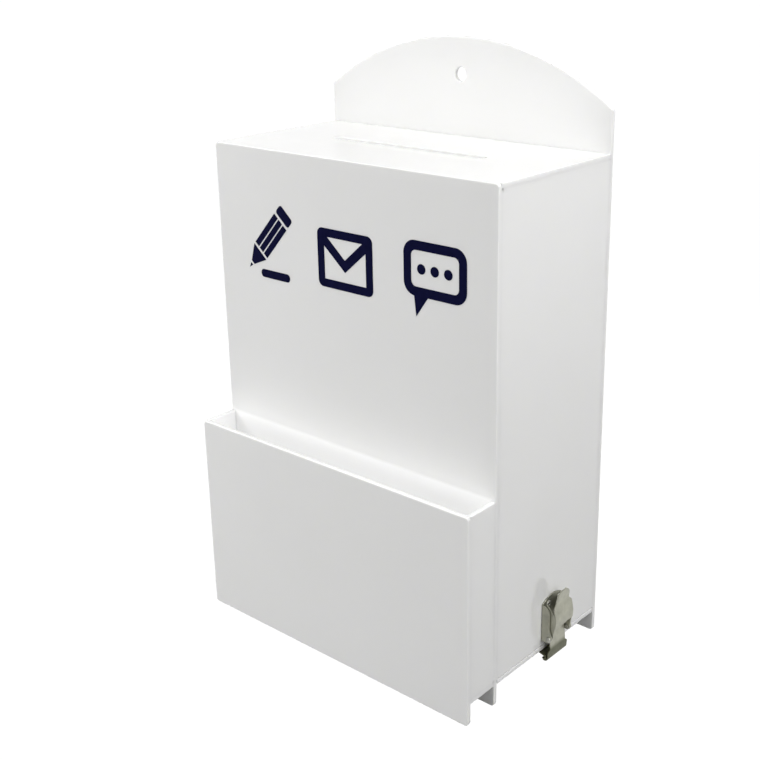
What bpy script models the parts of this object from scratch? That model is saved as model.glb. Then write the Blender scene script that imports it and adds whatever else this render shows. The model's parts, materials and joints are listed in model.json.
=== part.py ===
"""A wall-hung suggestion box of 3 mm white opal acrylic sheet.

The tall box has an arched back with a hanging hole, a slip slot in its top and an open slip pocket
across the lower front. Its bottom is a door, hinged at the left end and held at the right end by a
small draw latch. The back, the front and the pocket front reach below the bottom sheets as feet.

Box coordinates: X across from the middle, +X to the right of someone facing the box; Y towards the
wall, zero on the front face of the tall front; Z up, zero under the feet. All lengths in metres.
"""

import math

import bmesh
import bpy
from mathutils import Matrix, Vector

MM = 0.001

# Box, outside sizes
BOX_WIDTH = 220.0 * MM
BOX_DEPTH = 110.0 * MM          # front face of the tall front to the rear face of the back
BOX_HEIGHT = 314.0 * MM         # feet to the top of the closed box
SHOULDER_HEIGHT = 339.0 * MM    # feet to where the back's arch starts
ARCH_RISE = 36.0 * MM           # arch top above the shoulders
FOOT_HEIGHT = 14.0 * MM         # free space under the bottom sheets
POCKET_HEIGHT = 134.0 * MM      # feet to the pocket's rim
POCKET_REACH = 25.0 * MM        # pocket front's face ahead of the tall front's face

# Sheet
SHEET = 3.0 * MM
CEMENT_GAP = 0.3 * MM           # between sheets that are cemented edge to face
CORNER_RADIUS = 2.2 * MM        # free corners of a sheet's outline
EDGE_ROUND = 0.4 * MM           # polished edges
CUT_OVERRUN = 1.0 * MM          # how far a cutter passes the wall that it cuts

# Openings in the sheets
SLOT_LENGTH = 120.0 * MM
SLOT_WIDTH = 6.0 * MM
HANGING_HOLE_DIAMETER = 9.0 * MM
HANGING_HOLE_DROP = 23.0 * MM   # hole's centre below the arch top

# Bottom door
DOOR_CLEARANCE = 0.6 * MM       # before and behind the door
DOOR_SEAT_GAP = 0.3 * MM        # between the closed door and the sides above it

# Fasteners: small machine screws with hexagon nuts inside the box
SCREW_SHANK_DIAMETER = 2.4 * MM
SCREW_HEAD_DIAMETER = 4.4 * MM
SCREW_HEAD_HEIGHT = 1.1 * MM
SCREW_HOLE_CLEARANCE = 0.2 * MM  # on the radius
SCREW_END_SHOWING = 0.5 * MM     # screw end beyond its nut
NUT_ACROSS_FLATS = 5.0 * MM
NUT_HEIGHT = 1.8 * MM
NUT_BORE_CLEARANCE = 0.15 * MM   # on the radius
METAL_GAP = 0.2 * MM             # between a head or a nut and what it bears on
PLATE_GAP = 0.3 * MM             # between a metal plate and the sheet under it

# Butt hinges at the door's left end
PLATE = 0.8 * MM                # metal sheet of hinges and latch
HINGE_LENGTH = 30.0 * MM
HINGE_PITCH = 56.0 * MM         # between the two hinges' middles
HINGE_LEAF_WIDTH = 14.0 * MM    # flat of a leaf
HINGE_LEAF_CORNER = 2.0 * MM
HINGE_KNUCKLES = 5
HINGE_KNUCKLE_GAP = 0.3 * MM
HINGE_LEAF_STANDOFF = 0.6 * MM  # leaf's flat from the other leaf's knuckles
HINGE_SCREW_PITCH = 18.0 * MM
HINGE_SCREW_SHARE = 0.62        # of the leaf's flat, from the knuckles to the screws
PIN_DIAMETER = 1.6 * MM
PIN_CLEARANCE = 0.12 * MM       # on the radius
PIN_CHAMFER = 0.3 * MM
PIN_END_SHOWING = 0.4 * MM
KNUCKLE_WRAP = math.radians(300)

# Draw latch on the right side, laid out in heights above the feet and distances from the side sheet
LATCH_OFFSET = 3.8 * MM         # latch's middle behind the middle of the side
BASE_HALF_WIDTH = 10.8 * MM
BASE_BOTTOM = 21.3 * MM
BASE_TOP = 50.3 * MM
BASE_ARCH_RISE = 3.4 * MM
BASE_CORNER = 2.0 * MM
BASE_SCREW_PITCH = 11.0 * MM
BASE_SCREW_LOW = 24.8 * MM
BASE_SCREW_HIGH = 45.6 * MM
CHEEK_REACH = 7.5 * MM          # cheek's rim from the side sheet, around the lever's pivot
CHEEK_REACH_HIGH = 5.6 * MM     # the same above it
CHEEK_STEP_LOW = 25.6 * MM      # heights between which the rim falls back
CHEEK_STEP_HIGH = 31.0 * MM
CHEEK_ROUND_STEP = 3.0 * MM
CHEEK_BOTTOM = 21.6 * MM
CHEEK_TOP = 46.0 * MM
CHEEK_ROUND_LOW = 3.2 * MM
CHEEK_ROUND_HIGH = 4.8 * MM
CHEEK_LAP_SHARE = 0.4           # of the plate, where a cheek grows out of the base plate
CHEEK_OUTER_FACE = 10.8 * MM    # from the latch's middle plane
LEVER_PIVOT_OUT = 5.4 * MM
LEVER_PIVOT_UP = 24.2 * MM
CLAW_PIVOT_IN = 0.9 * MM       # claw pivot nearer to the side than the lever pivot, past dead centre
CLAW_PIVOT_ABOVE = 5.0 * MM     # claw pivot above the lever pivot
LEVER_SIDE_GAP = 0.4 * MM       # lever inside the cheeks
LEVER_EYE_RADIUS = 1.8 * MM     # round ends of the lever's flanges
WEB_BOTTOM = 32.6 * MM          # lower edge of the lever's web
WEB_OUT_LOW = 8.7 * MM         # middle of the web's sheet from the side sheet, at its lower edge
WEB_OUT_BACK = 9.4 * MM         # the same where the lever's back is highest
WEB_BACK = 38.0 * MM
WEB_BACK_RADIUS = 16.0 * MM
WEB_OUT_WAIST = 7.2 * MM
WEB_WAIST = 47.6 * MM
WEB_BEND_RADIUS = 9.0 * MM
LIP_OUT = 8.9 * MM              # middle of the lip's sheet at its tip
LIP_TOP = 56.2 * MM
LIP_HALF_WIDTH = 6.7 * MM
LEVER_SHOULDER = 44.6 * MM      # height where the lever starts to narrow into its lip
LEVER_SHOULDER_LENGTH = 3.4 * MM
FLANGE_TOP = 44.4 * MM
FLANGE_OUT = 2.4 * MM           # upper inner corner of the lever's flanges, from the side sheet
FLANGE_CORNER = 47.4 * MM       # height of that corner
RIVET_DIAMETER = 2.0 * MM
RIVET_CLEARANCE = 0.12 * MM     # on the radius
RIVET_HEAD_DIAMETER = 3.8 * MM
RIVET_HEAD_HEIGHT = 0.7 * MM
RIVET_TAIL_DIAMETER = 2.8 * MM
RIVET_TAIL_HEIGHT = 0.4 * MM
CLAW_NECK_GAP = 0.9 * MM        # claw's neck inside the lever's flanges
CLAW_HALF_WIDTH = 10.3 * MM
CLAW_BOW_OUT = 4.4 * MM         # claw's middle line where it has come out from under the lever
CLAW_BOW_UP = 22.6 * MM
CLAW_BOW_RADIUS = 6.0 * MM
CLAW_KNEE_OUT = 4.9 * MM        # claw's middle line where it turns in towards the catch
CLAW_KNEE_UP = 15.6 * MM
CLAW_KNEE_RADIUS = 3.0 * MM
CLAW_SHOULDER = 14.0 * MM       # height where the claw has its full width
CLAW_SHOULDER_LENGTH = 2.2 * MM
CLAW_EYE_WRAP = math.radians(285)
HOOK_WRAP = math.radians(112)
HOOK_GAP = 0.3 * MM             # between the hook and the catch's rolled lip
CATCH_LIP_OUT = 2.2 * MM        # lip roll's middle from the side sheet's outer plane
CATCH_LIP_UP = 10.7 * MM
CATCH_LIP_RADIUS = 1.6 * MM
CATCH_LIP_WRAP = math.radians(235)
CATCH_BEND_IN = 2.4 * MM        # bend of the catch plate inside the door's edge
CATCH_BEND_RADIUS = 1.6 * MM
CATCH_INNER_REACH = 16.0 * MM
CATCH_HALF_WIDTH = 10.9 * MM
CATCH_CORNER = 2.0 * MM
CATCH_SCREW_IN = 9.8 * MM
CATCH_SCREW_PITCH = 11.0 * MM

# Facets
ARC_STEP = math.radians(15)     # on rolls, hooks and corners
ARCH_STEPS = 36
ROUND_STEPS = 24                # around holes and pins
SCREW_STEPS = 16                # around screws and nuts
END_WIDTH_SHARE = 0.16          # of the half width, left flat at a rounded end
ARCH_DROP_SHARES = [1.0, 0.85, 0.7, 0.55, 0.4, 0.28]
SHOULDER_SHARES = [0.0, 0.25, 0.5, 0.75, 1.0]
DOME_ANGLES = [math.radians(a) for a in (0, 25, 50, 75)]
SAME_POINT = 0.001 * MM         # points nearer to each other than this are one

# Worked out from the sizes above
HALF_WIDTH = BOX_WIDTH / 2
DOOR_UNDERSIDE = FOOT_HEIGHT
DOOR_TOP = FOOT_HEIGHT + SHEET
SIDE_BOTTOM = DOOR_TOP + DOOR_SEAT_GAP
TOP_UNDERSIDE = BOX_HEIGHT - SHEET
BETWEEN_START = SHEET + CEMENT_GAP
BETWEEN_END = BOX_DEPTH - SHEET - CEMENT_GAP
MIDDLE_DEPTH = (BETWEEN_START + BETWEEN_END) / 2
POCKET_START = SHEET + CEMENT_GAP - POCKET_REACH
POCKET_END = -CEMENT_GAP
PIN_RADIUS = PIN_DIAMETER / 2
KNUCKLE_RADIUS = PIN_RADIUS + PIN_CLEARANCE + PLATE / 2
LATCH_Y = BOX_DEPTH / 2 + LATCH_OFFSET
SEAT_X = HALF_WIDTH + PLATE_GAP
CHEEK_MIDDLE = (CHEEK_BOTTOM + CHEEK_TOP) / 2
CLAW_PIVOT_OUT = LEVER_PIVOT_OUT - CLAW_PIVOT_IN
CLAW_PIVOT_UP = LEVER_PIVOT_UP + CLAW_PIVOT_ABOVE
LEVER_HALF_WIDTH = CHEEK_OUTER_FACE - PLATE - LEVER_SIDE_GAP
CLAW_NECK_HALF_WIDTH = LEVER_HALF_WIDTH - PLATE - CLAW_NECK_GAP
KNUCKLE_REACH = KNUCKLE_RADIUS + PLATE / 2
HINGE_AXIS = Vector((-SEAT_X - KNUCKLE_REACH, 0, DOOR_UNDERSIDE - PLATE_GAP - KNUCKLE_REACH))
LEVER_AXIS = Vector((SEAT_X + LEVER_PIVOT_OUT, LATCH_Y, LEVER_PIVOT_UP))
CLAW_AXIS = Vector((SEAT_X + CLAW_PIVOT_OUT, LATCH_Y, CLAW_PIVOT_UP))


# Scene and solids


def clear_scene():
    for obj in list(bpy.data.objects):
        bpy.data.objects.remove(obj, do_unlink=True)


def material(name, colour, roughness, metallic):
    made = bpy.data.materials.new(name)
    made.use_nodes = True
    shader = made.node_tree.nodes["Principled BSDF"]
    shader.inputs["Base Color"].default_value = (*colour, 1.0)
    shader.inputs["Roughness"].default_value = roughness
    shader.inputs["Metallic"].default_value = metallic
    return made


def box_place(obj):
    """Where an object or empty stands in box coordinates: its location added to its parents'."""
    place = Vector()
    while obj:
        place += obj.location
        obj = obj.parent
    return place


def stand(obj, parent, place, turn=(0, 0, 0)):
    bpy.context.scene.collection.objects.link(obj)
    obj.parent = parent
    obj.location = place - box_place(parent)
    obj.rotation_euler = turn
    return obj


def axis_empty(name, parent, place):
    return stand(bpy.data.objects.new(name, None), parent, place)


def solid(name, bm, skin, parent, place, turn=(0, 0, 0)):
    """One named piece. Its mesh is local to place, which is its joint's axis when it moves."""
    bmesh.ops.recalc_face_normals(bm, faces=bm.faces)
    mesh = bpy.data.meshes.new(name)
    bm.to_mesh(mesh)
    bm.free()
    if skin != SKINS["opal"]:
        mesh.shade_smooth()
        mesh.set_sharp_from_angle(angle=math.radians(35))
    mesh.materials.append(skin)
    return stand(bpy.data.objects.new(name, mesh), parent, place, turn)


def helper(name, bm, parent, place, turn=(0, 0, 0)):
    """A cutter, or metal that is joined into a piece. It is not a piece itself."""
    obj = solid(name, bm, SKINS["nickel"], parent, place, turn)
    obj.hide_render = True
    obj.display_type = "WIRE"
    return obj


def combine(target, tool, operation):
    step = target.modifiers.new(operation.lower() + "_" + tool.name, "BOOLEAN")
    step.operation = operation
    step.solver = "EXACT"
    step.object = tool


def polish_edges(target):
    step = target.modifiers.new("polished_edges", "BEVEL")
    step.width = EDGE_ROUND
    step.segments = 2
    step.limit_method = "ANGLE"
    step.angle_limit = math.radians(40)


def arc(centre, radius, start, sweep, step=ARC_STEP):
    """Points on an arc in a plane, from the angle start through sweep, both ends included."""
    count = max(1, math.ceil(abs(sweep) / step - 1e-6))
    angles = [start + sweep * i / count for i in range(count + 1)]
    return [Vector((centre[0] + radius * math.cos(a), centre[1] + radius * math.sin(a))) for a in angles]


def circle(centre, radius, steps):
    return arc(centre, radius, 0, math.tau * (steps - 1) / steps, math.tau / steps)


def rounded_corner(before, corner, after, radius):
    """Points of the arc that rounds a corner between two straight runs."""
    into = (Vector(corner) - Vector(before)).normalized()
    out = (Vector(after) - Vector(corner)).normalized()
    turn = into.angle_signed(out)
    reach = radius * math.tan(abs(turn) / 2)
    side = math.copysign(1, -turn)
    centre = Vector(corner) - into * reach + Vector((-into.y, into.x)) * side * radius
    start = math.atan2(-into.x * side, into.y * side)
    return arc(centre, radius, start, -turn)


def rounded_path(points, radii):
    """An open path with each inner corner rounded to its radius."""
    made = [points[0]]
    for before, corner, after, radius in zip(points, points[1:], points[2:], radii):
        made += rounded_corner(before, corner, after, radius)
    return made + [points[-1]]


def rectangle(across, up):
    return [(-across / 2, -up / 2), (across / 2, -up / 2), (across / 2, up / 2), (-across / 2, up / 2)]


def rounded_rectangle(across, up, radius):
    corners, outline = rectangle(across, up), []
    for i, corner in enumerate(corners):
        for point in rounded_corner(corners[i - 1], corner, corners[(i + 1) % 4], radius):
            if not outline or min((point - p).length for p in (outline[0], outline[-1])) > SAME_POINT:
                outline.append(point)
    return outline


def hull(points):
    """The outline around a set of points, as a sheet cut round several bosses has it."""
    ordered = sorted({(round(p[0], 9), round(p[1], 9)) for p in points})

    def half(run):
        kept = []
        for p in run:
            while len(kept) > 1 and cross(kept[-2], kept[-1], p) <= 0:
                kept.pop()
            kept.append(p)
        return kept[:-1]

    def cross(a, b, c):
        return (b[0] - a[0]) * (c[1] - a[1]) - (b[1] - a[1]) * (c[0] - a[0])

    return half(ordered) + half(reversed(ordered))


def add_prism(bm, outline, thickness, matrix=None):
    """A flat solid: its outline in local XY, its thickness along local Z about the middle."""
    matrix = matrix or Matrix()
    low = [bm.verts.new(matrix @ Vector((p[0], p[1], -thickness / 2))) for p in outline]
    high = [bm.verts.new(matrix @ Vector((p[0], p[1], thickness / 2))) for p in outline]
    bm.faces.new(low[::-1])
    bm.faces.new(high)
    for i in range(len(outline)):
        bm.faces.new((low[i - 1], low[i], high[i], high[i - 1]))
    return bm


def prism(outline, thickness):
    return add_prism(bmesh.new(), outline, thickness)


def add_turned(bm, profile, steps, matrix):
    """A round solid about local Z. Its profile runs from the lower to the upper end, as (radius, z)."""
    rings = []
    for radius, z in profile:
        ring = [matrix @ Vector((p.x, p.y, z)) for p in circle((0, 0), radius, steps)]
        rings.append([bm.verts.new(p) for p in ring])
    bm.faces.new(rings[0][::-1])
    bm.faces.new(rings[-1])
    for lower, upper in zip(rings, rings[1:]):
        for i in range(steps):
            bm.faces.new((lower[i - 1], lower[i], upper[i], upper[i - 1]))
    return bm


def add_rod(bm, radius, low, high, steps, matrix):
    return add_turned(bm, [(radius, low), (radius, high)], steps, matrix)


def bent_strip(path, half_widths, thickness, swap=False):
    """Bent sheet metal. Its middle line runs in local XZ, its width lies along local Y.

    swap lays the path's first value along Z and its second along X.
    """
    bm = bmesh.new()
    sections = []
    for i, point in enumerate(path):
        into = (point - path[i - 1]).normalized() if i else (path[1] - point).normalized()
        out = (path[i + 1] - point).normalized() if i + 1 < len(path) else into
        along = (into + out).normalized()
        normal = Vector((-along.y, along.x)) * thickness / 2 / along.dot(into)
        ring = []
        for side, face in ((-1, -1), (1, -1), (1, 1), (-1, 1)):
            a, b = point + normal * face
            place = (b, side * half_widths[i], a) if swap else (a, side * half_widths[i], b)
            ring.append(bm.verts.new(place))
        sections.append(ring)
    bm.faces.new(sections[0][::-1])
    bm.faces.new(sections[-1])
    for first, second in zip(sections, sections[1:]):
        for i in range(4):
            bm.faces.new((first[i - 1], first[i], second[i], second[i - 1]))
    return bm


def points_along(path, distances):
    """Points on a path at distances from its start, with its own points in between."""
    lengths = [0.0]
    for a, b in zip(path, path[1:]):
        lengths.append(lengths[-1] + (b - a).length)
    wanted = sorted(set(lengths) | {d for d in distances if 0 < d < lengths[-1]})
    found = []
    for distance in wanted:
        i = max(k for k in range(len(path) - 1) if lengths[k] <= distance)
        share = (distance - lengths[i]) / (lengths[i + 1] - lengths[i])
        found.append(path[i].lerp(path[i + 1], share))
    return found, wanted


def rounding_distances(radius):
    """Distances from a strip's end at which its rounded outline has points."""
    return [radius * (1 - math.cos(i * ARC_STEP)) for i in range(1, round(math.radians(90) / ARC_STEP) + 1)]


def narrowing(distance, radius):
    """How far a rounded corner draws the strip's edge in, at a distance from the strip's end."""
    inside = max(0.0, radius - distance)
    return radius - math.sqrt(radius * radius - inside * inside)


# Sheets of the box

ACROSS = (math.radians(90), 0, 0)                     # outline X, Z; thickness along Y
ALONG = (math.radians(90), 0, math.radians(90))       # outline Y, Z; thickness along X
LEVEL = (0, 0, 0)                                     # outline X, Y; thickness along Z


def sheet(name, outline, place, turn):
    return solid(name, prism(outline, SHEET), SKINS["opal"], BODIES["box"], place, turn)


def cross_sheet(name, height, front_face):
    """A full-width upright sheet that stands on its own foot."""
    place = Vector((0, front_face + SHEET / 2, height / 2))
    return sheet(name, rounded_rectangle(BOX_WIDTH, height, CORNER_RADIUS), place, ACROSS)


def side_sheet(name, side, start, end, top):
    outline = rectangle(end - start, top - SIDE_BOTTOM)
    place = Vector((side * (HALF_WIDTH - SHEET / 2), (start + end) / 2, (top + SIDE_BOTTOM) / 2))
    return sheet(name, outline, place, ALONG)


def level_sheet(name, start, end, underside):
    outline = rectangle(BOX_WIDTH, end - start)
    place = Vector((0, (start + end) / 2, underside + SHEET / 2))
    return sheet(name, outline, place, LEVEL)


def back_outline():
    """Square below, an arch on top: a circle through both shoulders and the arch's highest point."""
    radius = (HALF_WIDTH ** 2 + ARCH_RISE ** 2) / (2 * ARCH_RISE)
    centre = (0, SHOULDER_HEIGHT + ARCH_RISE - radius)
    half_angle = math.asin(HALF_WIDTH / radius)
    lower_left, lower_right = (-HALF_WIDTH, 0), (HALF_WIDTH, 0)
    outline = rounded_corner((-HALF_WIDTH, BOX_HEIGHT), lower_left, lower_right, CORNER_RADIUS)
    outline += rounded_corner(lower_left, lower_right, (HALF_WIDTH, BOX_HEIGHT), CORNER_RADIUS)
    start = math.radians(90) - half_angle
    return outline + arc(centre, radius, start, 2 * half_angle, 2 * half_angle / ARCH_STEPS)


def make_sheets():
    back = sheet("back_panel", back_outline(), Vector((0, BOX_DEPTH - SHEET / 2, 0)), ACROSS)
    hole_place = Vector((0, BOX_DEPTH - SHEET / 2, SHOULDER_HEIGHT + ARCH_RISE - HANGING_HOLE_DROP))
    hole = prism(circle((0, 0), HANGING_HOLE_DIAMETER / 2, ROUND_STEPS), SHEET + 2 * CUT_OVERRUN)
    combine(back, helper("cut_hanging_hole", hole, BODIES["box"], hole_place, ACROSS), "DIFFERENCE")

    cross_sheet("front_panel", BOX_HEIGHT, 0)
    cross_sheet("pocket_front_panel", POCKET_HEIGHT, -POCKET_REACH)

    left = side_sheet("left_side_panel", -1, BETWEEN_START, BETWEEN_END, TOP_UNDERSIDE - CEMENT_GAP)
    right = side_sheet("right_side_panel", 1, BETWEEN_START, BETWEEN_END, TOP_UNDERSIDE - CEMENT_GAP)
    side_sheet("pocket_left_side", -1, POCKET_START, POCKET_END, POCKET_HEIGHT)
    side_sheet("pocket_right_side", 1, POCKET_START, POCKET_END, POCKET_HEIGHT)

    top = level_sheet("top_panel", BETWEEN_START, BETWEEN_END, TOP_UNDERSIDE)
    slot_outline = rounded_rectangle(SLOT_LENGTH, SLOT_WIDTH, SLOT_WIDTH / 2)
    slot = prism(slot_outline, SHEET + 2 * CUT_OVERRUN)
    slot_place = Vector((0, MIDDLE_DEPTH, BOX_HEIGHT - SHEET / 2))
    combine(top, helper("cut_slip_slot", slot, BODIES["box"], slot_place, LEVEL), "DIFFERENCE")

    level_sheet("pocket_floor", POCKET_START, POCKET_END, DOOR_UNDERSIDE)

    start, end = SHEET + DOOR_CLEARANCE, BOX_DEPTH - SHEET - DOOR_CLEARANCE
    outline = rectangle(BOX_WIDTH, end - start)
    middle = Vector((0, (start + end) / 2, DOOR_UNDERSIDE + SHEET / 2))
    at_axis = middle - HINGE_AXIS
    door_sheet = add_prism(bmesh.new(), outline, SHEET, Matrix.Translation(at_axis))
    door = solid("bottom_door", door_sheet, SKINS["opal"], BODIES["door"], HINGE_AXIS)
    return left, right, door


# Screws and nuts

OUT_LEFT = Matrix.Rotation(math.radians(-90), 4, "Y")
OUT_RIGHT = Matrix.Rotation(math.radians(90), 4, "Y")
OUT_BELOW = Matrix.Rotation(math.radians(180), 4, "X")
THROUGH = PLATE + PLATE_GAP + SHEET     # from a plate's outer face to the inside of the box


def screw_profile():
    """Domed head above the bearing face at zero, shank below it."""
    shank, head = SCREW_SHANK_DIAMETER / 2, SCREW_HEAD_DIAMETER / 2
    tip = -(METAL_GAP + THROUGH + METAL_GAP + NUT_HEIGHT + SCREW_END_SHOWING)
    crown = [(head * math.cos(a), SCREW_HEAD_HEIGHT * (0.4 + 0.6 * math.sin(a))) for a in DOME_ANGLES]
    return [(shank - PIN_CHAMFER, tip), (shank, tip + PIN_CHAMFER), (shank, 0), (head, 0)] + crown


def add_nut(bm, matrix):
    """Hexagon nut: its outer face at zero, the rest below it."""
    corners = circle((0, 0), NUT_ACROSS_FLATS / math.sqrt(3), 6)
    outer = []
    for i, corner in enumerate(corners):
        outer += [corner, (corner + corners[(i + 1) % 6]) / 2]
    bore = circle((0, 0), SCREW_SHANK_DIAMETER / 2 + NUT_BORE_CLEARANCE, len(outer))
    rings = []
    for points, z in ((bore, -NUT_HEIGHT), (outer, -NUT_HEIGHT), (outer, 0), (bore, 0)):
        rings.append([bm.verts.new(matrix @ Vector((p.x, p.y, z))) for p in points])
    for k, ring in enumerate(rings):
        following = rings[(k + 1) % 4]
        for i in range(len(ring)):
            bm.faces.new((ring[i - 1], ring[i], following[i], following[i - 1]))
    return bm


def fasten(places, outward, body):
    """Screws through a plate and the sheet behind it, each with a nut inside the box.

    places holds each screw's name and the point on the plate's outer face that it stands on.
    """
    for name, place in places.items():
        screw = add_turned(bmesh.new(), screw_profile(), SCREW_STEPS, outward)
        nut = add_nut(bmesh.new(), outward)
        on_plate = outward @ Vector((0, 0, METAL_GAP))
        inside = outward @ Vector((0, 0, -THROUGH - METAL_GAP))
        solid(name + "_screw", screw, SKINS["screw"], BODIES[body], place + on_plate)
        solid(name + "_nut", nut, SKINS["screw"], BODIES[body], place + inside)


def drill(target, name, places, outward, body):
    """Clearance holes for screws, through a plate or a sheet near the given points."""
    anchor = box_place(BODIES[body])
    holes = bmesh.new()
    radius = SCREW_SHANK_DIAMETER / 2 + SCREW_HOLE_CLEARANCE
    for place in places.values():
        at = Matrix.Translation(place - anchor) @ outward
        add_rod(holes, radius, -THROUGH - CUT_OVERRUN, CUT_OVERRUN, SCREW_STEPS, at)
    combine(target, helper("cut_" + name, holes, BODIES[body], anchor), "DIFFERENCE")


# Butt hinges

LEAF_START = KNUCKLE_REACH + HINGE_LEAF_STANDOFF
LEAF_END = LEAF_START + HINGE_LEAF_WIDTH
HINGE_MIDDLES = [MIDDLE_DEPTH - HINGE_PITCH / 2, MIDDLE_DEPTH + HINGE_PITCH / 2]


def leaf_strip(swap):
    """A leaf of full length: flat, then rolled round the pin. The pin's axis is local Y at zero."""
    flat = [Vector((KNUCKLE_RADIUS, LEAF_END)), Vector((KNUCKLE_RADIUS, 0))]
    flat, distances = points_along(flat, rounding_distances(HINGE_LEAF_CORNER))
    path = flat[:-1] + arc((0, 0), KNUCKLE_RADIUS, 0, -KNUCKLE_WRAP, 2 * ARC_STEP)
    widths = [HINGE_LENGTH / 2 - narrowing(d, HINGE_LEAF_CORNER) for d in distances]
    widths += [HINGE_LENGTH / 2] * (len(path) - len(widths))
    return bent_strip(path, widths, PLATE, swap)


def knuckle_cutter(parity, swap):
    """Clears a leaf where the other leaf's knuckles turn."""
    bm = bmesh.new()
    pitch = HINGE_LENGTH / HINGE_KNUCKLES
    low, high = -KNUCKLE_REACH - CUT_OVERRUN, LEAF_START
    for i in range(parity, HINGE_KNUCKLES, 2):
        first = -HINGE_LENGTH / 2 + i * pitch - HINGE_KNUCKLE_GAP / 2
        last = first + pitch + HINGE_KNUCKLE_GAP
        if i == 0:
            first -= CUT_OVERRUN
        if i == HINGE_KNUCKLES - 1:
            last += CUT_OVERRUN
        along, out = (low + high) / 2, 0
        place = (along, (first + last) / 2, out) if swap else (out, (first + last) / 2, along)
        reach = 2 * (KNUCKLE_REACH + CUT_OVERRUN)
        size = (high - low, last - first, reach) if swap else (reach, last - first, high - low)
        bmesh.ops.create_cube(bm, size=1, matrix=Matrix.Translation(place) @ Matrix.Diagonal((*size, 1)))
    return bm


def make_hinge(which, middle):
    axis = HINGE_AXIS + Vector((0, middle, 0))
    leaves = {}
    for leaf, body, parity, swap in (("box", "box", 1, False), ("door", "door", 0, True)):
        name = f"{which}_hinge_{leaf}_leaf"
        leaves[leaf] = solid(name, leaf_strip(swap), SKINS["nickel"], BODIES[body], axis)
        cutter = helper("cut_" + name, knuckle_cutter(parity, swap), BODIES[body], axis)
        combine(leaves[leaf], cutter, "DIFFERENCE")
    half = HINGE_LENGTH / 2 + PIN_END_SHOWING
    profile = [(PIN_RADIUS - PIN_CHAMFER, -half), (PIN_RADIUS, PIN_CHAMFER - half)]
    profile += [(PIN_RADIUS, half - PIN_CHAMFER), (PIN_RADIUS - PIN_CHAMFER, half)]
    pin = add_turned(bmesh.new(), profile, ROUND_STEPS, Matrix.Rotation(math.radians(90), 4, "X"))
    solid(f"{which}_hinge_pin", pin, SKINS["screw"], BODIES["box"], axis)
    return leaves


def make_hinges(left, door):
    screw_reach = LEAF_START + HINGE_LEAF_WIDTH * HINGE_SCREW_SHARE
    screw_up, screw_in = HINGE_AXIS.z + screw_reach, HINGE_AXIS.x + screw_reach
    box_places, door_places = {}, {}
    for which, middle in zip(("front", "rear"), HINGE_MIDDLES):
        leaves = make_hinge(which, middle)
        on_box, on_door = {}, {}
        for row, side in (("a", -1), ("b", 1)):
            y = middle + side * HINGE_SCREW_PITCH / 2
            on_box[f"{which}_hinge_box_{row}"] = Vector((-SEAT_X - PLATE, y, screw_up))
            on_door[f"{which}_hinge_door_{row}"] = Vector((screw_in, y, DOOR_UNDERSIDE - PLATE_GAP - PLATE))
        drill(leaves["box"], f"{which}_box_leaf_holes", on_box, OUT_LEFT, "box")
        drill(leaves["door"], f"{which}_door_leaf_holes", on_door, OUT_BELOW, "door")
        box_places.update(on_box)
        door_places.update(on_door)
    drill(left, "left_side_holes", box_places, OUT_LEFT, "box")
    drill(door, "door_hinge_holes", door_places, OUT_BELOW, "door")
    fasten(box_places, OUT_LEFT, "box")
    fasten(door_places, OUT_BELOW, "door")


# Draw latch. Its profiles are laid out as (distance out from the seat, height above the feet)

LEVER_PIVOT = Vector((LEVER_PIVOT_OUT, LEVER_PIVOT_UP))
CLAW_PIVOT = Vector((CLAW_PIVOT_OUT, CLAW_PIVOT_UP))
CATCH_LIP = Vector((CATCH_LIP_OUT, CATCH_LIP_UP))
ACROSS_LATCH = Matrix.Rotation(math.radians(90), 4, "X")


def latch_place(pivot):
    return Vector((SEAT_X + pivot.x, LATCH_Y, pivot.y))


def plate_pair(outline, middle):
    """Two like upright plates, one on each side of the latch's middle plane."""
    bm = bmesh.new()
    for side in (-1, 1):
        add_prism(bm, outline, PLATE, Matrix.Translation((0, side * middle, 0)) @ ACROSS_LATCH)
    return bm


def cross_hole(target, name, radius, pivot, origin, body):
    """A round hole right through a latch piece, along its pivot."""
    bm = bmesh.new()
    reach = CHEEK_OUTER_FACE + CUT_OVERRUN
    at = Matrix.Translation((pivot.x - origin.x, 0, pivot.y - origin.y)) @ ACROSS_LATCH
    add_rod(bm, radius, -reach, reach, ROUND_STEPS, at)
    combine(target, helper("cut_" + name, bm, BODIES[body], latch_place(origin)), "DIFFERENCE")


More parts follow.
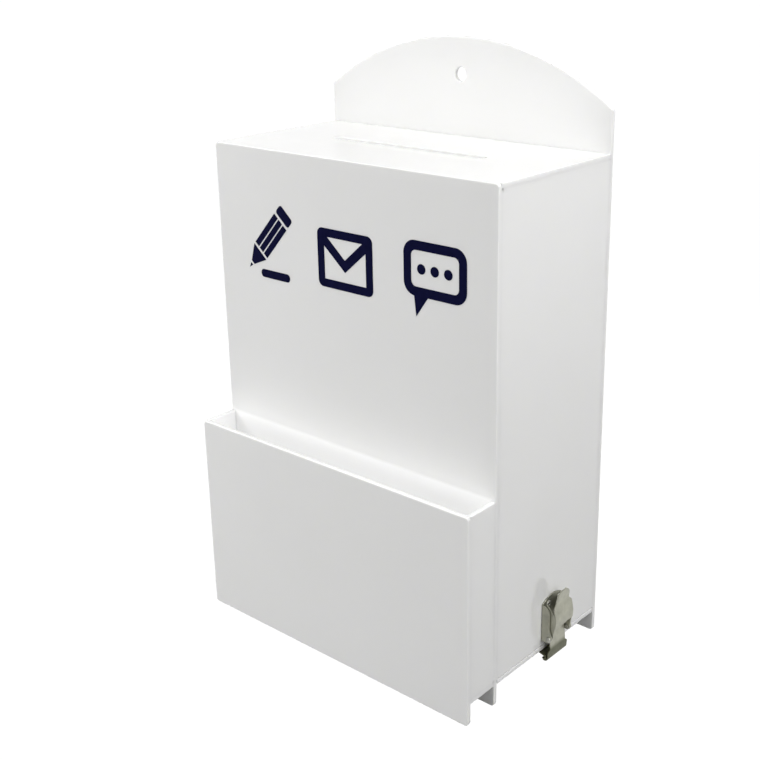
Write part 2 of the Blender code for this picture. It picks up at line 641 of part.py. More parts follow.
def make_base(right):
    """Base plate with an arched top, and a low cheek along each side that holds the lever."""
    origin = Vector((0, CHEEK_MIDDLE))
    radius = (BASE_HALF_WIDTH ** 2 + BASE_ARCH_RISE ** 2) / (2 * BASE_ARCH_RISE)
    drops = [BASE_ARCH_RISE * share ** 2 for share in ARCH_DROP_SHARES]
    heights = [BASE_BOTTOM] + [BASE_BOTTOM + d for d in rounding_distances(BASE_CORNER)]
    widths = [BASE_HALF_WIDTH - narrowing(h - BASE_BOTTOM, BASE_CORNER) for h in heights]
    heights += [BASE_TOP - d for d in drops]
    widths += [math.sqrt(radius ** 2 - (radius - d) ** 2) for d in drops]
    heights.append(BASE_TOP)
    widths.append(END_WIDTH_SHARE * BASE_HALF_WIDTH)
    path = [Vector((PLATE / 2, h)) - origin for h in heights]
    plate = bent_strip(path, widths, PLATE)
    base = solid("latch_base", plate, SKINS["nickel"], BODIES["box"], latch_place(origin))

    lap = PLATE * CHEEK_LAP_SHARE
    rim = [(lap, CHEEK_BOTTOM), (CHEEK_REACH, CHEEK_BOTTOM), (CHEEK_REACH, CHEEK_STEP_LOW)]
    rim += [(CHEEK_REACH_HIGH, CHEEK_STEP_HIGH), (CHEEK_REACH_HIGH, CHEEK_TOP), (lap, CHEEK_TOP)]
    rim = rounded_path([Vector(p) for p in rim],
                       [CHEEK_ROUND_LOW, CHEEK_ROUND_STEP, CHEEK_ROUND_STEP, CHEEK_ROUND_HIGH])
    cheeks = plate_pair([p - origin for p in rim], CHEEK_OUTER_FACE - PLATE / 2)
    combine(base, helper("join_cheeks", cheeks, BODIES["box"], latch_place(origin)), "UNION")
    cross_hole(base, "cheek_holes", RIVET_DIAMETER / 2 + RIVET_CLEARANCE, LEVER_PIVOT, origin, "box")

    places = {}
    for level, up in (("lower", BASE_SCREW_LOW), ("upper", BASE_SCREW_HIGH)):
        for row, side in (("a", -1), ("b", 1)):
            y = LATCH_Y + side * BASE_SCREW_PITCH / 2
            places[f"latch_base_{level}_{row}"] = Vector((SEAT_X + PLATE, y, up))
    drill(base, "latch_base_holes", places, OUT_RIGHT, "box")
    drill(right, "right_side_holes", places, OUT_RIGHT, "box")
    fasten(places, OUT_RIGHT, "box")


def swell(height, start, length, low, high):
    """A width that changes smoothly from low to high between two heights."""
    share = min(max((height - start) / length, 0), 1)
    return low + (high - low) * (1 - math.cos(math.pi * share)) / 2


def with_heights(path, heights):
    """The same path with extra points where it passes the given heights."""
    made = [path[0]]
    for a, b in zip(path, path[1:]):
        inside = [height for height in heights if min(a.y, b.y) < height < max(a.y, b.y)]
        crossings = sorted((height - a.y) / (b.y - a.y) for height in inside)
        made += [a.lerp(b, crossing) for crossing in crossings] + [b]
    return made


def web_path():
    """The lever's web: a humped back, then a waist, then bent outwards into the finger lip."""
    low, back = Vector((WEB_OUT_LOW, WEB_BOTTOM)), Vector((WEB_OUT_BACK, WEB_BACK))
    waist, tip = Vector((WEB_OUT_WAIST, WEB_WAIST)), Vector((LIP_OUT, LIP_TOP))
    path = rounded_path([low, back, waist, tip], [WEB_BACK_RADIUS, WEB_BEND_RADIUS])
    path = with_heights(path, [LEVER_SHOULDER + LEVER_SHOULDER_LENGTH * share for share in SHOULDER_SHARES])
    length = sum((b - a).length for a, b in zip(path, path[1:]))
    rounding = [length - d for d in rounding_distances(LIP_HALF_WIDTH)]
    points, distances = points_along(path, rounding)
    wide = LEVER_HALF_WIDTH - PLATE / 4
    widths = []
    for point, distance in zip(points, distances):
        width = swell(point.y, LEVER_SHOULDER, LEVER_SHOULDER_LENGTH, wide, LIP_HALF_WIDTH)
        widths.append(max(width - narrowing(length - distance, LIP_HALF_WIDTH), END_WIDTH_SHARE * wide))
    return points, widths


def make_lever():
    points, widths = web_path()
    web = bent_strip([p - LEVER_PIVOT for p in points], widths, PLATE)
    lever = solid("latch_lever", web, SKINS["nickel"], BODIES["latch_lever"], latch_place(LEVER_PIVOT))

    back, inner = [p for p in points if p.y < FLANGE_TOP], Vector((FLANGE_OUT, FLANGE_CORNER))
    rims = circle(LEVER_PIVOT, LEVER_EYE_RADIUS, ROUND_STEPS)
    rims += circle(CLAW_PIVOT, LEVER_EYE_RADIUS, ROUND_STEPS)
    outline = [(p[0] - LEVER_PIVOT.x, p[1] - LEVER_PIVOT.y) for p in hull(rims + back + [inner])]
    flanges = plate_pair(outline, LEVER_HALF_WIDTH - PLATE / 2)
    joined = helper("join_flanges", flanges, BODIES["latch_lever"], latch_place(LEVER_PIVOT))
    combine(lever, joined, "UNION")
    pivot_bore, pin_bore = RIVET_DIAMETER / 2 + RIVET_CLEARANCE, PIN_RADIUS + PIN_CLEARANCE
    cross_hole(lever, "lever_pivot_holes", pivot_bore, LEVER_PIVOT, LEVER_PIVOT, "latch_lever")
    cross_hole(lever, "lever_pin_holes", pin_bore, CLAW_PIVOT, LEVER_PIVOT, "latch_lever")


def make_rivets():
    """One short rivet in each cheek, so that the claw has the middle to itself."""
    shank, head, tail = RIVET_DIAMETER / 2, RIVET_HEAD_DIAMETER / 2, RIVET_TAIL_DIAMETER / 2
    outer = CHEEK_OUTER_FACE + METAL_GAP
    inner = LEVER_HALF_WIDTH - PLATE - METAL_GAP
    profile = [(tail, inner - RIVET_TAIL_HEIGHT), (tail, inner), (shank, inner), (shank, outer)]
    dome = [(head * math.cos(a), outer + RIVET_HEAD_HEIGHT * (0.3 + 0.7 * math.sin(a))) for a in DOME_ANGLES]
    profile += [(head, outer)] + dome
    for which, turn in (("front", 90), ("rear", -90)):
        rivet = add_turned(bmesh.new(), profile, SCREW_STEPS, Matrix.Rotation(math.radians(turn), 4, "X"))
        name = f"latch_lever_{which}_rivet"
        solid(name, rivet, SKINS["screw"], BODIES["box"], latch_place(LEVER_PIVOT))


def make_claw():
    """Rolled eye on the claw pin, a plate that bows out from under the lever, and a wide hook.

    The hook goes round the catch's rolled lip from outside.
    """
    hook_radius = CATCH_LIP_RADIUS + HOOK_GAP + PLATE / 2
    bow, knee = Vector((CLAW_BOW_OUT, CLAW_BOW_UP)), Vector((CLAW_KNEE_OUT, CLAW_KNEE_UP))
    to_bow, to_lip = bow - CLAW_PIVOT, CATCH_LIP - knee
    toward = math.atan2(to_bow.y, to_bow.x) - math.acos(KNUCKLE_RADIUS / to_bow.length)
    leave = CLAW_PIVOT + Vector((math.cos(toward), math.sin(toward))) * KNUCKLE_RADIUS
    eye = arc(CLAW_PIVOT, KNUCKLE_RADIUS, toward - CLAW_EYE_WRAP, CLAW_EYE_WRAP, 2 * ARC_STEP)
    toward = math.atan2(to_lip.y, to_lip.x) - math.acos(hook_radius / to_lip.length)
    arrive = CATCH_LIP - Vector((math.cos(toward), math.sin(toward))) * hook_radius
    hook = arc(CATCH_LIP, hook_radius, toward + math.pi, -HOOK_WRAP)
    neck = rounded_path([leave, bow, knee, arrive], [CLAW_BOW_RADIUS, CLAW_KNEE_RADIUS])
    neck = with_heights(neck, [CLAW_SHOULDER + CLAW_SHOULDER_LENGTH * share for share in SHOULDER_SHARES])
    path = eye + neck[1:-1] + hook
    top = CLAW_SHOULDER + CLAW_SHOULDER_LENGTH
    widths = [CLAW_NECK_HALF_WIDTH] * len(eye)
    for point in path[len(eye):]:
        widths.append(swell(-point.y, -top, CLAW_SHOULDER_LENGTH, CLAW_NECK_HALF_WIDTH, CLAW_HALF_WIDTH))
    strip = bent_strip([p - CLAW_PIVOT for p in path], widths, PLATE)
    solid("latch_claw", strip, SKINS["nickel"], BODIES["latch_claw"], latch_place(CLAW_PIVOT))

    half = LEVER_HALF_WIDTH + PIN_END_SHOWING / 2
    profile = [(PIN_RADIUS - PIN_CHAMFER, -half), (PIN_RADIUS, PIN_CHAMFER - half)]
    profile += [(PIN_RADIUS, half - PIN_CHAMFER), (PIN_RADIUS - PIN_CHAMFER, half)]
    pin = add_turned(bmesh.new(), profile, ROUND_STEPS, ACROSS_LATCH)
    solid("latch_claw_pin", pin, SKINS["screw"], BODIES["latch_lever"], latch_place(CLAW_PIVOT))


def make_catch(door):
    """Plate under the door's end, bent down and outwards into a rolled lip for the hook."""
    roll = CATCH_LIP_RADIUS - PLATE / 2
    level = DOOR_UNDERSIDE - PLATE_GAP - PLATE / 2
    inner, bend = Vector((-CATCH_INNER_REACH, level)), Vector((-CATCH_BEND_IN, level))
    to_lip = CATCH_LIP - bend
    toward = math.atan2(to_lip.y, to_lip.x) + math.acos(-roll / to_lip.length)
    touch = CATCH_LIP + Vector((math.cos(toward), math.sin(toward))) * roll
    flat, distances = points_along([inner, bend], rounding_distances(CATCH_CORNER))
    path = flat[:-1] + rounded_corner(inner, bend, touch, CATCH_BEND_RADIUS)
    path += arc(CATCH_LIP, roll, toward, -CATCH_LIP_WRAP, 2 * ARC_STEP)
    widths = [CATCH_HALF_WIDTH - narrowing(d, CATCH_CORNER) for d in distances[:-1]]
    widths += [CATCH_HALF_WIDTH] * (len(path) - len(widths))
    origin = HINGE_AXIS + Vector((0, LATCH_Y, 0))
    shift = Vector((SEAT_X - origin.x, -origin.z))
    strip = bent_strip([p + shift for p in path], widths, PLATE)
    catch = solid("catch_plate", strip, SKINS["nickel"], BODIES["door"], origin)
    places = {}
    for row, side in (("a", -1), ("b", 1)):
        y = LATCH_Y + side * CATCH_SCREW_PITCH / 2
        places["catch_" + row] = Vector((SEAT_X - CATCH_SCREW_IN, y, DOOR_UNDERSIDE - PLATE_GAP - PLATE))
    drill(catch, "catch_holes", places, OUT_BELOW, "door")
    drill(door, "door_catch_holes", places, OUT_BELOW, "door")
    fasten(places, OUT_BELOW, "door")


def centre_on_feet(root):
    """Moves the whole box so that the frame's origin lies under its middle, in the feet's plane."""
    bpy.context.view_layer.update()
    reach = bpy.context.evaluated_depsgraph_get()
    corners = []
    for obj in bpy.data.objects:
        if obj.type == "MESH" and not obj.hide_render:
            shown = obj.evaluated_get(reach)
            corners += [obj.matrix_world @ Vector(corner) for corner in shown.bound_box]
    for k in range(2):
        root.location[k] -= (min(c[k] for c in corners) + max(c[k] for c in corners)) / 2


clear_scene()
SKINS = {
    "opal": material("opal_acrylic", (0.86, 0.86, 0.85), 0.18, 0.0),
    "nickel": material("nickel_plated_steel", (0.56, 0.55, 0.50), 0.32, 1.0),
    "screw": material("screw_steel", (0.50, 0.49, 0.46), 0.36, 1.0),
}
ROOT = axis_empty("box_frame", None, Vector())
BODIES = {"box": ROOT, "door": axis_empty("door_axis", ROOT, HINGE_AXIS)}
BODIES["latch_lever"] = axis_empty("latch_lever_axis", ROOT, LEVER_AXIS)
BODIES["latch_claw"] = axis_empty("latch_claw_axis", BODIES["latch_lever"], CLAW_AXIS)
LEFT_SIDE, RIGHT_SIDE, DOOR = make_sheets()
for piece in bpy.data.objects:
    if piece.type == "MESH" and not piece.hide_render:
        polish_edges(piece)
make_hinges(LEFT_SIDE, DOOR)
make_base(RIGHT_SIDE)
make_lever()
make_rivets()
make_claw()
make_catch(DOOR)
centre_on_feet(ROOT)
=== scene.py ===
import json
import math

import bmesh
import bpy
from mathutils import Matrix, Vector


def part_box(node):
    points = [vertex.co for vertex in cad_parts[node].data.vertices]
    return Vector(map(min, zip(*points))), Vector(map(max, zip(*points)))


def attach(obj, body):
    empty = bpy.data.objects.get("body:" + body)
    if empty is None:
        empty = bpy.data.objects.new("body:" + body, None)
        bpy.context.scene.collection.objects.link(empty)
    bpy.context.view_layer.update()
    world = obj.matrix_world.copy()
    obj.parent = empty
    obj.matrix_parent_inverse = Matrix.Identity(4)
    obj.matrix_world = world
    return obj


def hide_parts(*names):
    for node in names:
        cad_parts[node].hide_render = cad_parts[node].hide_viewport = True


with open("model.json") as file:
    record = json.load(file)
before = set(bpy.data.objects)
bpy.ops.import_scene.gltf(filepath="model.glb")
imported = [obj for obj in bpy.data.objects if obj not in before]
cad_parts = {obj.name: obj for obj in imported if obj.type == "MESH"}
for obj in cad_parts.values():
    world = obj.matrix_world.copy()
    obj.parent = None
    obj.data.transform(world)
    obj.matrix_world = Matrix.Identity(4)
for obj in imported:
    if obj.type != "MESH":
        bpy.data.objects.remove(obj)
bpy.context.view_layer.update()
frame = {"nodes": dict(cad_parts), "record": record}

MM = 0.001
WELD = 0.002 * MM                # points nearer than this are one

# Where the box stands in the frame: middle of its width, face of its tall front, underside of its feet
FRONT_LOW, FRONT_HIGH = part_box("front_panel")
ORIGIN = Vector(((FRONT_LOW.x + FRONT_HIGH.x) / 2, FRONT_LOW.y, FRONT_LOW.z))
SHEET = FRONT_HIGH.y - FRONT_LOW.y


def at(x, y, z):
    """A point in box coordinates."""
    return ORIGIN + Vector((x, y, z))


def low_of(node):
    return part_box(node)[0]


def high_of(node):
    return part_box(node)[1]


def new_object(name, data):
    made = bpy.data.objects.new(name, data)
    bpy.context.scene.collection.objects.link(made)
    return made


def applied(source):
    """A mesh of the source as its modifiers, or its curve's settings, leave it. The source itself goes."""
    bpy.context.view_layer.update()
    made = bpy.data.meshes.new_from_object(source.evaluated_get(bpy.context.evaluated_depsgraph_get()))
    bpy.data.objects.remove(source)
    return made


def smooth_by_angle(mesh, degrees):
    mesh.shade_smooth()
    mesh.set_sharp_from_angle(angle=math.radians(degrees))


# Shader nodes

NOISE_LOW, NOISE_HIGH = 0.3, 0.7         # noise seldom leaves these levels


def new_material(name, settings):
    """A Principled material with the settings on its shader: the material, its tree and its shader."""
    made = bpy.data.materials.new(name)
    made.use_nodes = True
    shader = made.node_tree.nodes["Principled BSDF"]
    for socket, value in settings.items():
        shader.inputs[socket].default_value = value
    return made, made.node_tree, shader


def finish_shader(tree, shader, colour, roughness, normal):
    for source, socket in ((colour, "Base Color"), (roughness, "Roughness"), (normal, "Normal")):
        tree.links.new(source, shader.inputs[socket])


def add_node(tree, kind, **settings):
    """A node, with each setting on its input of that name, or else on the node itself."""
    made = tree.nodes.new(kind)
    for key, value in settings.items():
        if key in made.inputs:
            made.inputs[key].default_value = value
        else:
            setattr(made, key, value)
    return made


def own_coords(tree):
    return tree.nodes.new("ShaderNodeTexCoord").outputs["Object"]


def axes_of(tree, coords):
    made = tree.nodes.new("ShaderNodeSeparateXYZ")
    tree.links.new(coords, made.inputs[0])
    return made.outputs


def noise(tree, coords, scale, detail=2.0, roughness=0.5, stretch=None):
    """Noise over the coordinates, stretched where asked."""
    made = add_node(tree, "ShaderNodeTexNoise", Scale=scale, Detail=detail, Roughness=roughness)
    source = coords
    if stretch:
        mapping = add_node(tree, "ShaderNodeMapping", Scale=stretch)
        tree.links.new(coords, mapping.inputs["Vector"])
        source = mapping.outputs["Vector"]
    tree.links.new(source, made.inputs["Vector"])
    return made.outputs["Fac"]


def ramp(tree, value, low, high):
    """Maps a noise value between two colours or two grey levels."""
    made = tree.nodes.new("ShaderNodeValToRGB")
    made.color_ramp.elements[0].position = NOISE_LOW
    made.color_ramp.elements[1].position = NOISE_HIGH
    for element, colour in zip(made.color_ramp.elements, (low, high)):
        element.color = (*colour, 1) if isinstance(colour, tuple) else (colour, colour, colour, 1)
    tree.links.new(value, made.inputs["Fac"])
    return made.outputs["Color"]


def bump(tree, height, strength, distance, under=None):
    """A bumped normal, on top of another where one is given."""
    made = add_node(tree, "ShaderNodeBump", Strength=strength, Distance=distance)
    tree.links.new(height, made.inputs["Height"])
    if under:
        tree.links.new(under, made.inputs["Normal"])
    return made.outputs["Normal"]


def map_range(tree, value, start, end, low=0.0, high=1.0, shape="LINEAR"):
    """The value from start to end brought to low to high, and held there beyond."""
    made = add_node(tree, "ShaderNodeMapRange", interpolation_type=shape)
    for socket, level in (("From Min", start), ("From Max", end), ("To Min", low), ("To Max", high)):
        made.inputs[socket].default_value = level
    tree.links.new(value, made.inputs["Value"])
    return made.outputs["Result"]


def combined(tree, first, second, operation):
    made = add_node(tree, "ShaderNodeMath", operation=operation)
    tree.links.new(first, made.inputs[0])
    tree.links.new(second, made.inputs[1])
    return made.outputs[0]


def mixed(tree, factor, first, second, blend="MIX"):
    """The first colour, which comes from a node, with the second, a plain one, mixed in by the factor."""
    made = add_node(tree, "ShaderNodeMix", data_type="RGBA", blend_type=blend)
    made.inputs["B"].default_value = (*second, 1)
    tree.links.new(factor, made.inputs["Factor"])
    tree.links.new(first, made.inputs["A"])
    return made.outputs["Result"]


def seen_or_mirrored(tree):
    """One for a ray from the camera or from a reflection."""
    path = tree.nodes.new("ShaderNodeLightPath")
    return combined(tree, path.outputs["Is Camera Ray"], path.outputs["Is Glossy Ray"], "MAXIMUM")


# Faces that line a space, which get painted light

TOUCH = 0.05 * MM                # a face lines a space when it is this near
RIM_GLOW = 2.0 * MM              # the pocket's painted light ends this far above its rim
SLOT_EDGE = 0.5 * MM             # the slot's walls get the painted light up to this far under the top's face


def between(tree, value, low, high, soft):
    """One where the value lies between low and high, falling to nothing over soft beyond them."""
    rise = map_range(tree, value, low - soft, low)
    fall = map_range(tree, value, high + soft, high)
    return combined(tree, rise, fall, "MULTIPLY")


def lining(tree, axes, low, high, above):
    """One on the faces round the space from low to high, falling to nothing over above past its top."""
    whole = None
    for axis, start, end, soft in zip("XYZ", low, high, (TOUCH, TOUCH, above)):
        part = between(tree, axes[axis], start - TOUCH, end + TOUCH, soft)
        whole = combined(tree, whole, part, "MULTIPLY") if whole else part
    return whole


def painted_light_mask(tree, coords):
    """Mask of the painted light: one on the inner faces of the pocket, the box and its slot."""
    axes = axes_of(tree, coords)
    rim = high_of("pocket_front_panel")
    pocket_low = (high_of("pocket_left_side").x, rim.y, high_of("pocket_floor").z)
    pocket_high = (low_of("pocket_right_side").x, FRONT_LOW.y, rim.z)
    box_low = (high_of("left_side_panel").x, FRONT_HIGH.y, high_of("bottom_door").z)
    box_high = (low_of("right_side_panel").x, low_of("back_panel").y, high_of("top_panel").z - SLOT_EDGE)
    pocket = lining(tree, axes, pocket_low, pocket_high, RIM_GLOW)
    return combined(tree, pocket, lining(tree, axes, box_low, box_high, TOUCH), "MAXIMUM")


# Opal acrylic sheet, and the cement between sheets

ACRYLIC_IOR = 1.49
SCATTER_SHARES = (1.0, 1.0, 0.95)        # of red, green and blue
SCATTER_DEPTH = 1.0 * MM
PAINTED_INNER_GLOW = 0.09               # painted glow on the sheet's inner faces, standing for light from outside that comes through the sheet
WORN_DARK, WORN_LIGHT = (0.865, 0.865, 0.857), (0.890, 0.890, 0.884)
# Painted light: the inner faces are painted whiter, for light that comes through the sheet and bounces
# between the walls
PAINTED_INNER_LIGHT = (0.955, 0.955, 0.950)
POLISHED, SMUDGED = 0.09, 0.15
CEMENT_DARK, CEMENT_LIGHT = (0.855, 0.855, 0.85), (0.875, 0.875, 0.87)
CEMENT_SMOOTH, CEMENT_DULL = 0.14, 0.24


def opal_acrylic():
    """Polished sheet with cloudy wear and smudges outside, painted whiter and glowing a little on its inner
    faces as painted light.
    """
    made, tree, shader = new_material("opal_acrylic", {
        "IOR": ACRYLIC_IOR, "Subsurface Weight": 1.0, "Subsurface Radius": SCATTER_SHARES,
        "Subsurface Scale": SCATTER_DEPTH, "Emission Strength": PAINTED_INNER_GLOW})
    coords = own_coords(tree)
    # painted light on the inner faces: a whiter colour and a faint glow
    inside = painted_light_mask(tree, coords)
    tree.links.new(inside, shader.inputs["Emission Color"])
    worn = ramp(tree, noise(tree, coords, scale=9.0, detail=3.0), WORN_DARK, WORN_LIGHT)
    smudge = noise(tree, coords, scale=34.0, detail=4.0, roughness=0.6)
    wave = bump(tree, noise(tree, coords, scale=16.0, detail=1.0), strength=0.05, distance=2 * MM)
    grain = bump(tree, noise(tree, coords, scale=1400.0), strength=0.02, distance=0.2 * MM, under=wave)
    finish_shader(tree, shader, mixed(tree, inside, worn, PAINTED_INNER_LIGHT),
                  ramp(tree, smudge, POLISHED, SMUDGED), grain)
    return made


def cement():
    """Clear solvent cement over opal sheet, wiped flush: it looks like the sheet and is a little duller."""
    made, tree, shader = new_material("cement", {"IOR": ACRYLIC_IOR})
    cloud = noise(tree, own_coords(tree), scale=60.0, detail=3.0)
    finish_shader(tree, shader, ramp(tree, cloud, CEMENT_DARK, CEMENT_LIGHT),
                  ramp(tree, cloud, CEMENT_SMOOTH, CEMENT_DULL),
                  bump(tree, cloud, strength=0.05, distance=0.2 * MM))
    return made


# Plated steel

PLATE_METALLIC = 0.75            # less than one, for the dull film on old plate
NICKEL_DARK, NICKEL_LIGHT, NICKEL_ROUGHNESS = (0.315, 0.315, 0.26), (0.43, 0.426, 0.35), 0.36
ZINC_DARK, ZINC_LIGHT, ZINC_ROUGHNESS = (0.33, 0.33, 0.29), (0.43, 0.43, 0.39), 0.34
SMOOTHER, ROUGHER = 0.06, 0.08           # how far the fine lines take the roughness down and up
UPRIGHT_LINES, NO_LINES = (1.0, 1.0, 0.12), (1.0, 1.0, 1.0)
PAINTED_SHADE_FROM, PAINTED_SHADE_TO = 19.5 * MM, 15.0 * MM      # heights over which the painted shade darkens the plate downwards
PAINTED_SHADE_SHARES = (0.25, 0.26, 0.18)             # shares of the light that the painted shade leaves


def painted_shade(tree, coords, plate):
    """The plate's colour with painted shade and painted dark reflection, dark and olive low on the right,
    where the hook and the catch are.
    """
    axes = axes_of(tree, coords)
    right = map_range(tree, axes["X"], 0.0, TOUCH, shape="SMOOTHSTEP")
    low = map_range(tree, axes["Z"], PAINTED_SHADE_FROM, PAINTED_SHADE_TO, shape="SMOOTHSTEP")
    return mixed(tree, combined(tree, right, low, "MULTIPLY"), plate, PAINTED_SHADE_SHARES, "MULTIPLY")


def plated_steel(name, dark, light, roughness, stretch, shade_painted):
    """Nickel or zinc plate over steel: cloudy plate, fine rolling lines where stretched, and small pits."""
    made, tree, shader = new_material(name, {"Metallic": PLATE_METALLIC})
    coords = own_coords(tree)
    plate = ramp(tree, noise(tree, coords, scale=160.0, detail=4.0, roughness=0.6), dark, light)
    lines = noise(tree, coords, scale=420.0, detail=3.0, roughness=0.6, stretch=stretch)
    rolled = bump(tree, lines, strength=0.12, distance=0.1 * MM)
    pitting = noise(tree, coords, scale=900.0, detail=3.0, roughness=0.7)
    # painted shade and painted dark reflection under the latch, on the nickel only
    finish_shader(tree, shader, painted_shade(tree, coords, plate) if shade_painted else plate,
                  ramp(tree, lines, roughness - SMOOTHER, roughness + ROUGHER),
                  bump(tree, pitting, strength=0.15, distance=0.1 * MM, under=rolled))
    return made


# Navy film

NAVY_DARK, NAVY_LIGHT = (0.003, 0.0035, 0.024), (0.005, 0.0055, 0.034)
FILM_SMOOTH, FILM_MATT = 0.42, 0.52
FILM_SPECULAR = 0.02


def navy_film():
    made, tree, shader = new_material("navy_film", {"Specular IOR Level": FILM_SPECULAR})
    coords = own_coords(tree)
    cloud = noise(tree, coords, scale=220.0, detail=3.0)
    finish_shader(tree, shader, ramp(tree, cloud, NAVY_DARK, NAVY_LIGHT),
                  ramp(tree, cloud, FILM_SMOOTH, FILM_MATT),
                  bump(tree, noise(tree, coords, scale=2600.0), strength=0.05, distance=0.1 * MM))
    return made


CEMENT = cement()
SKINS = {
    "opal_acrylic": opal_acrylic(),
    "nickel_plated_steel": plated_steel("nickel_plated_steel", NICKEL_DARK, NICKEL_LIGHT,
                                        NICKEL_ROUGHNESS, UPRIGHT_LINES, True),
    "screw_steel": plated_steel("screw_steel", ZINC_DARK, ZINC_LIGHT, ZINC_ROUGHNESS, NO_LINES, False),
    "navy_film": navy_film(),
}


# Camera, as solved from the photograph's corners

FOCAL_PIXELS = 1206.5
FRAME_PIXELS = 760
AXIS_PIXEL = (410, 335)
AZIMUTH, ELEVATION, ROLL = 40.97, 18.67, -0.80
DISTANCE = 719.9 * MM
TARGET_UP = 200 * MM
TARGET_SHIFT = (36.6 * MM, 8.7 * MM)
SENSOR_WIDTH = 36                # millimetres, as Blender has it
CLIP_NEAR, CLIP_FAR = 10 * MM, 200.0


def make_camera():
    azimuth, elevation, roll = (math.radians(degrees) for degrees in (AZIMUTH, ELEVATION, ROLL))
    back = Vector((math.sin(azimuth) * math.cos(elevation), -math.cos(azimuth) * math.cos(elevation),
                   math.sin(elevation)))
    right = Vector((math.cos(azimuth), math.sin(azimuth), 0))
    up = back.cross(right)
    turned_right = right * math.cos(roll) + up * math.sin(roll)
    turned_up = up * math.cos(roll) - right * math.sin(roll)
    target = at(0, 0, TARGET_UP) + right * TARGET_SHIFT[0] + up * TARGET_SHIFT[1]
    turn = Matrix((turned_right, turned_up, back)).transposed().to_4x4()
    optics = bpy.data.cameras.new("camera")
    optics.sensor_width = SENSOR_WIDTH
    optics.lens = FOCAL_PIXELS * SENSOR_WIDTH / FRAME_PIXELS
    optics.shift_x = (FRAME_PIXELS / 2 - AXIS_PIXEL[0]) / FRAME_PIXELS
    optics.shift_y = (AXIS_PIXEL[1] - FRAME_PIXELS / 2) / FRAME_PIXELS
    optics.clip_start = CLIP_NEAR
    optics.clip_end = CLIP_FAR
    camera = new_object("camera", optics)
    camera.matrix_world = Matrix.Translation(target + back * DISTANCE) @ turn
    bpy.context.scene.camera = camera


# Stage: the box hangs, so the floor lies where the opened door still clears it

FLOOR_Z = -245 * MM
FLOOR_SIZE = 60.0
FLOOR_GREY, FLOOR_ROUGHNESS, FLOOR_SPECULAR = (0.06, 0.06, 0.06, 1), 0.9, 0.1
FLOOR_GLOW = 0.975
WHITE = (1, 1, 1, 1)
STUDIO_WHITE = (1.0, 1.0, 0.995, 1)
STUDIO_LOW, STUDIO_HIGH = -0.5, 1.0      # how far up the studio's darkest and brightest parts lie
LIGHT_LOW, LIGHT_HIGH = 0.33, 0.41       # the light from these two


def make_floor():
    """A pale floor that the camera sees as white where no shadow falls, and that lights the feet little."""
    made, tree, shader = new_material("floor", {
        "Base Color": FLOOR_GREY, "Roughness": FLOOR_ROUGHNESS, "Specular IOR Level": FLOOR_SPECULAR})
    level = add_node(tree, "ShaderNodeMath", operation="MULTIPLY")
    level.inputs[1].default_value = FLOOR_GLOW
    tree.links.new(seen_or_mirrored(tree), level.inputs[0])
    glow = add_node(tree, "ShaderNodeEmission", Color=WHITE)
    tree.links.new(level.outputs[0], glow.inputs["Strength"])
    both = tree.nodes.new("ShaderNodeAddShader")
    tree.links.new(shader.outputs[0], both.inputs[0])
    tree.links.new(glow.outputs[0], both.inputs[1])
    tree.links.new(both.outputs[0], tree.nodes["Material Output"].inputs["Surface"])
    half = FLOOR_SIZE / 2
    corners = [(x, y, FLOOR_Z) for x, y in rectangle((-half, -half), (half, half))]
    mesh = bpy.data.meshes.new("floor")
    mesh.from_pydata(corners, [], [(0, 1, 2, 3)])
    mesh.materials.append(made)
    new_object("floor", mesh)


def make_world():
    """White to the camera and in reflections; a plain soft studio to the rest, brighter from above."""
    world = bpy.data.worlds.new("studio")
    world.use_nodes = True
    bpy.context.scene.world = world
    tree = world.node_tree
    upward = axes_of(tree, tree.nodes.new("ShaderNodeTexCoord").outputs["Generated"])["Z"]
    strength = map_range(tree, upward, STUDIO_LOW, STUDIO_HIGH, LIGHT_LOW, LIGHT_HIGH)
    lit = tree.nodes["Background"]
    lit.inputs["Color"].default_value = STUDIO_WHITE
    tree.links.new(strength, lit.inputs["Strength"])
    white = add_node(tree, "ShaderNodeBackground", Color=WHITE, Strength=1.0)
    mix = tree.nodes.new("ShaderNodeMixShader")
    tree.links.new(seen_or_mirrored(tree), mix.inputs["Fac"])
    tree.links.new(lit.outputs[0], mix.inputs[1])
    tree.links.new(white.outputs[0], mix.inputs[2])
    tree.links.new(mix.outputs[0], tree.nodes["World Output"].inputs["Surface"])


# Lamps: name, place, what it looks at, size, watts, with places and sizes in metres
LAMPS = [
    ("front_soft", (0.0, -1.40, 0.50), (0.0, 0.0, 0.20), 0.8, 2.4),
    ("front_near", (-0.35, -0.90, 0.20), (0.0, -0.03, 0.18), 0.4, 2.0),
    ("right_soft", (1.30, -0.10, 0.55), (0.10, 0.05, 0.20), 0.7, 2.6),
    ("right_above", (0.75, 0.0, 0.90), (0.10, 0.05, 0.20), 0.4, 5.6),
    ("left_above", (-1.10, -0.60, 1.10), (0.0, 0.0, 0.20), 0.5, 10.8),
    ("back_soft", (-0.25, 1.40, 0.70), (0.0, 0.07, 0.20), 0.8, 7.5),
]
# A lamp this near would show as a white patch in the polished sheet
UNMIRRORED_LAMPS = ("front_near",)


def make_lamps():
    for name, place, target, size, watts in LAMPS:
        light = bpy.data.lights.new(name, "AREA")
        light.shape = "SQUARE"
        light.size = size
        light.energy = watts
        lamp = new_object(name, light)
        lamp.location = at(*place)
        lamp.rotation_euler = (at(*target) - at(*place)).to_track_quat("-Z", "Y").to_euler()
        lamp.visible_glossy = name not in UNMIRRORED_LAMPS


# Pieces

